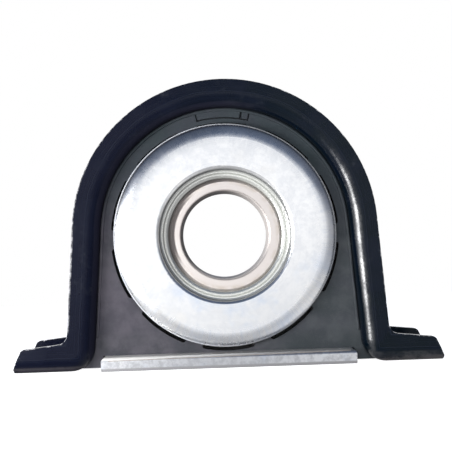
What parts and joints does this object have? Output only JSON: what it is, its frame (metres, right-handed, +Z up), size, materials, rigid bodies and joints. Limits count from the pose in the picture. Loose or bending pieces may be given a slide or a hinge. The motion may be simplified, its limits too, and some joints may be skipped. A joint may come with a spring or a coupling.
{
  "type": "driveshaft centre bearing",
  "caption": "Driveshaft centre support bearing: sealed ball bearing between dished shields in a slotted rubber cushion, held by a pressed steel hoop bracket with bolt-down feet.",
  "frame": {"origin": "centre of the bore, half way along the inner ring", "axes": "+Y along the shaft towards the rear, +X to the right seen from the front, +Z up away from the feet"},
  "size_m": [0.218, 0.044, 0.146],
  "materials": {
    "black_paint": "gloss black paint",
    "rubber": "matt moulded rubber",
    "zinc_plate": "bright zinc plate",
    "ring_steel": "ground",
    "ball_steel": "polished",
    "cage_steel": "pressed sheet",
    "seal_rubber": "matt"
  },
  "bodies": {
    "housing": {"bracket": "black_paint", "cushion": "rubber", "base_strip": "zinc_plate", "front_retainer": "zinc_plate", "rear_retainer": "zinc_plate", "outer_ring": "ring_steel", "front_seal": "seal_rubber", "rear_seal": "seal_rubber"},
    "rotor": {"inner_ring": "ring_steel", "front_slinger": "zinc_plate", "rear_slinger": "zinc_plate"},
    "cage": {"front_cage": "cage_steel", "rear_cage": "cage_steel", "cage_rivets": "cage_steel"},
    "ball_1": {"ball_1": "ball_steel"},
    "ball_2": {"ball_2": "ball_steel"},
    "ball_3": {"ball_3": "ball_steel"},
    "ball_4": {"ball_4": "ball_steel"},
    "ball_5": {"ball_5": "ball_steel"},
    "ball_6": {"ball_6": "ball_steel"},
    "ball_7": {"ball_7": "ball_steel"},
    "ball_8": {"ball_8": "ball_steel"},
    "ball_9": {"ball_9": "ball_steel"}
  },
  "joints": [
    {"name": "shaft_spin", "type": "hinge", "parent": "housing", "child": "rotor", "pos_m": [0, 0, 0], "axis": [0, 1, 0], "continuous": true},
    {"name": "cage_spin", "type": "hinge", "parent": "housing", "child": "cage", "pos_m": [0, 0, 0], "axis": [0, 1, 0], "continuous": true},
    {"name": "ball_1_spin", "type": "hinge", "parent": "cage", "child": "ball_1", "pos_m": [0, 0, 0.03253], "axis": [0, 1, 0], "continuous": true},
    {"name": "ball_2_spin", "type": "hinge", "parent": "cage", "child": "ball_2", "pos_m": [-0.02091, 0, 0.02492], "axis": [0, 1, 0], "continuous": true},
    {"name": "ball_3_spin", "type": "hinge", "parent": "cage", "child": "ball_3", "pos_m": [-0.03204, 0, 0.00565], "axis": [0, 1, 0], "continuous": true},
    {"name": "ball_4_spin", "type": "hinge", "parent": "cage", "child": "ball_4", "pos_m": [-0.02817, 0, -0.01627], "axis": [0, 1, 0], "continuous": true},
    {"name": "ball_5_spin", "type": "hinge", "parent": "cage", "child": "ball_5", "pos_m": [-0.01113, 0, -0.03057], "axis": [0, 1, 0], "continuous": true},
    {"name": "ball_6_spin", "type": "hinge", "parent": "cage", "child": "ball_6", "pos_m": [0.01113, 0, -0.03057], "axis": [0, 1, 0], "continuous": true},
    {"name": "ball_7_spin", "type": "hinge", "parent": "cage", "child": "ball_7", "pos_m": [0.02817, 0, -0.01627], "axis": [0, 1, 0], "continuous": true},
    {"name": "ball_8_spin", "type": "hinge", "parent": "cage", "child": "ball_8", "pos_m": [0.03204, 0, 0.00565], "axis": [0, 1, 0], "continuous": true},
    {"name": "ball_9_spin", "type": "hinge", "parent": "cage", "child": "ball_9", "pos_m": [0.02091, 0, 0.02492], "axis": [0, 1, 0], "continuous": true}
  ],
  "couplings": [
    {"joint": "cage_spin", "follows": "shaft_spin", "ratio": 0.4024},
    {"joint": "ball_1_spin", "follows": "shaft_spin", "ratio": -2.4638},
    {"joint": "ball_2_spin", "follows": "shaft_spin", "ratio": -2.4638},
    {"joint": "ball_3_spin", "follows": "shaft_spin", "ratio": -2.4638},
    {"joint": "ball_4_spin", "follows": "shaft_spin", "ratio": -2.4638},
    {"joint": "ball_5_spin", "follows": "shaft_spin", "ratio": -2.4638},
    {"joint": "ball_6_spin", "follows": "shaft_spin", "ratio": -2.4638},
    {"joint": "ball_7_spin", "follows": "shaft_spin", "ratio": -2.4638},
    {"joint": "ball_8_spin", "follows": "shaft_spin", "ratio": -2.4638},
    {"joint": "ball_9_spin", "follows": "shaft_spin", "ratio": -2.4638}
  ]
}
